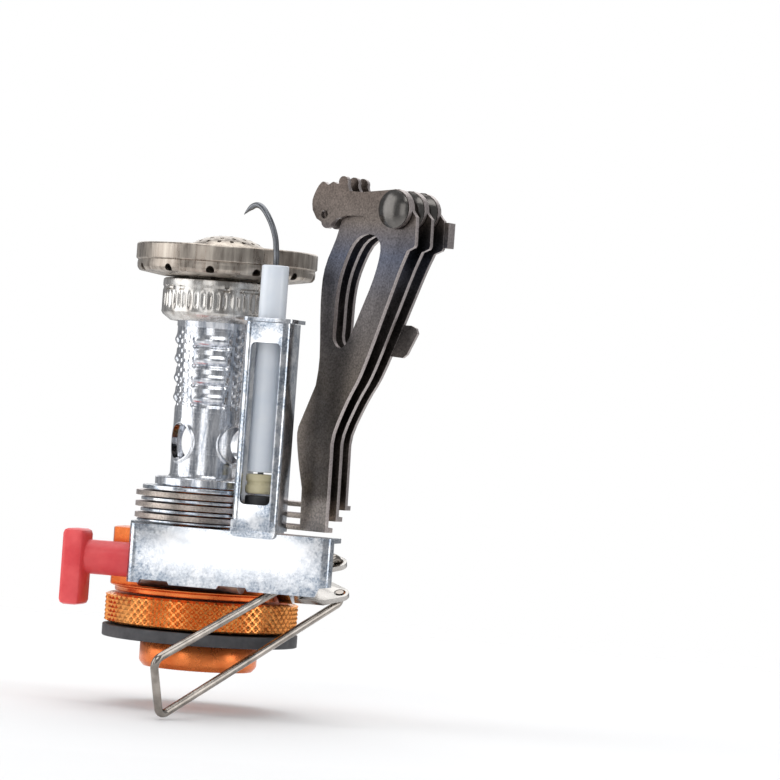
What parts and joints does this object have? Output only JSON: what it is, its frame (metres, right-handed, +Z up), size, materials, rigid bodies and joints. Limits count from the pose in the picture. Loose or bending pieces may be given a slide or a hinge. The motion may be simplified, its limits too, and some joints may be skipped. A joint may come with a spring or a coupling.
{
  "type": "camping stove",
  "caption": "Canister-top camping gas stove with folding pot supports, flip-out serrated arms, push-button spark igniter and a folding wire valve handle.",
  "frame": {"origin": "on the stem's axis, at the threaded collar's bottom face", "axes": "+Z up the stem to the burner, the igniter box faces -Y, its button points to -X and the valve spindle to +X"},
  "size_m": [0.0586, 0.0497, 0.0861],
  "materials": {
    "orange_anodised": "anodised satin",
    "bright_aluminium": "turned, bright",
    "plated_sheet": "bright zinc and nickel plate",
    "burner_steel": "brown-grey, heat stained",
    "support_steel": "dark, heat tinted",
    "nickel_wire": "nickel plated",
    "brass": "machined",
    "black_rubber": "matt",
    "red_plastic": "fine grain",
    "black_plastic": "satin",
    "white_ceramic": "glazed ceramic",
    "cream_sleeve": "satin"
  },
  "bodies": {
    "stove": {"threaded_collar": "orange_anodised", "knurled_ring": "orange_anodised", "valve_body": "orange_anodised", "gland_nut": "bright_aluminium", "mixer_tube": "bright_aluminium", "burner_neck": "bright_aluminium", "igniter_bracket": "plated_sheet", "igniter_holder": "plated_sheet", "holder_cap": "plated_sheet", "base_washer": "plated_sheet", "lower_spacer": "plated_sheet", "upper_spacer": "plated_sheet", "top_washer": "plated_sheet", "burner_head": "burner_steel", "burner_dome": "burner_steel", "pot_support_1": "support_steel", "arm_rivet_1": "support_steel", "electrode": "nickel_wire", "depressor_pin": "brass", "gas_jet": "brass", "rubber_disc": "black_rubber", "canister_seal": "black_rubber", "piezo_module": "black_plastic", "spark_lead": "black_plastic", "lead_boot": "black_plastic", "ceramic_insulator": "white_ceramic", "insulator_collar": "cream_sleeve"},
    "support_2": {"pot_support_2": "support_steel", "arm_rivet_2": "support_steel"},
    "support_3": {"pot_support_3": "support_steel", "arm_rivet_3": "support_steel"},
    "arm_1": {"pot_arm_1": "support_steel"},
    "arm_2": {"pot_arm_2": "support_steel"},
    "arm_3": {"pot_arm_3": "support_steel"},
    "valve": {"valve_spindle": "burner_steel", "spindle_o_ring": "black_rubber", "handle_clevis": "plated_sheet", "clevis_nut": "bright_aluminium"},
    "handle": {"wire_handle": "nickel_wire"},
    "button": {"piezo_button": "red_plastic"}
  },
  "joints": [
    {"name": "support_3_swing", "type": "hinge", "parent": "stove", "child": "support_3", "pos_m": [0, 0, 0.0278], "axis": [0, 0, 1], "range_deg": [0, 228]},
    {"name": "support_2_swing", "type": "hinge", "parent": "stove", "child": "support_2", "pos_m": [0, 0, 0.026], "axis": [0, 0, 1], "range_deg": [0, 114]},
    {"name": "arm_1_flip", "type": "hinge", "parent": "stove", "child": "arm_1", "pos_m": [0.03172, -0.01479, 0.0752], "axis": [0.4226, 0.9063, 0], "range_deg": [0, 180]},
    {"name": "arm_2_flip", "type": "hinge", "parent": "support_2", "child": "arm_2", "pos_m": [0.03309, -0.0114, 0.0752], "axis": [0.3256, 0.9455, 0], "range_deg": [0, 180]},
    {"name": "arm_3_flip", "type": "hinge", "parent": "support_3", "child": "arm_3", "pos_m": [0.0341, -0.00787, 0.0752], "axis": [0.225, 0.9744, 0], "range_deg": [0, 180]},
    {"name": "valve_turn", "type": "hinge", "parent": "stove", "child": "valve", "pos_m": [0.0129, 0, 0.0162], "axis": [1, 0, 0], "range_deg": [0, 180]},
    {"name": "handle_swing", "type": "hinge", "parent": "valve", "child": "handle", "pos_m": [0.0225, 0, 0.0162], "axis": [0, -0.4909, 0.8712], "range_deg": [0, 118.4]},
    {"name": "piezo_press", "type": "slide", "parent": "stove", "child": "button", "axis": [1, 0, 0], "range_m": [0, 0.0032], "stiffness_N_per_m": 2500}
  ],
  "couplings": [
    {"joint": "support_2_swing", "follows": "support_3_swing", "ratio": 0.5}
  ]
}
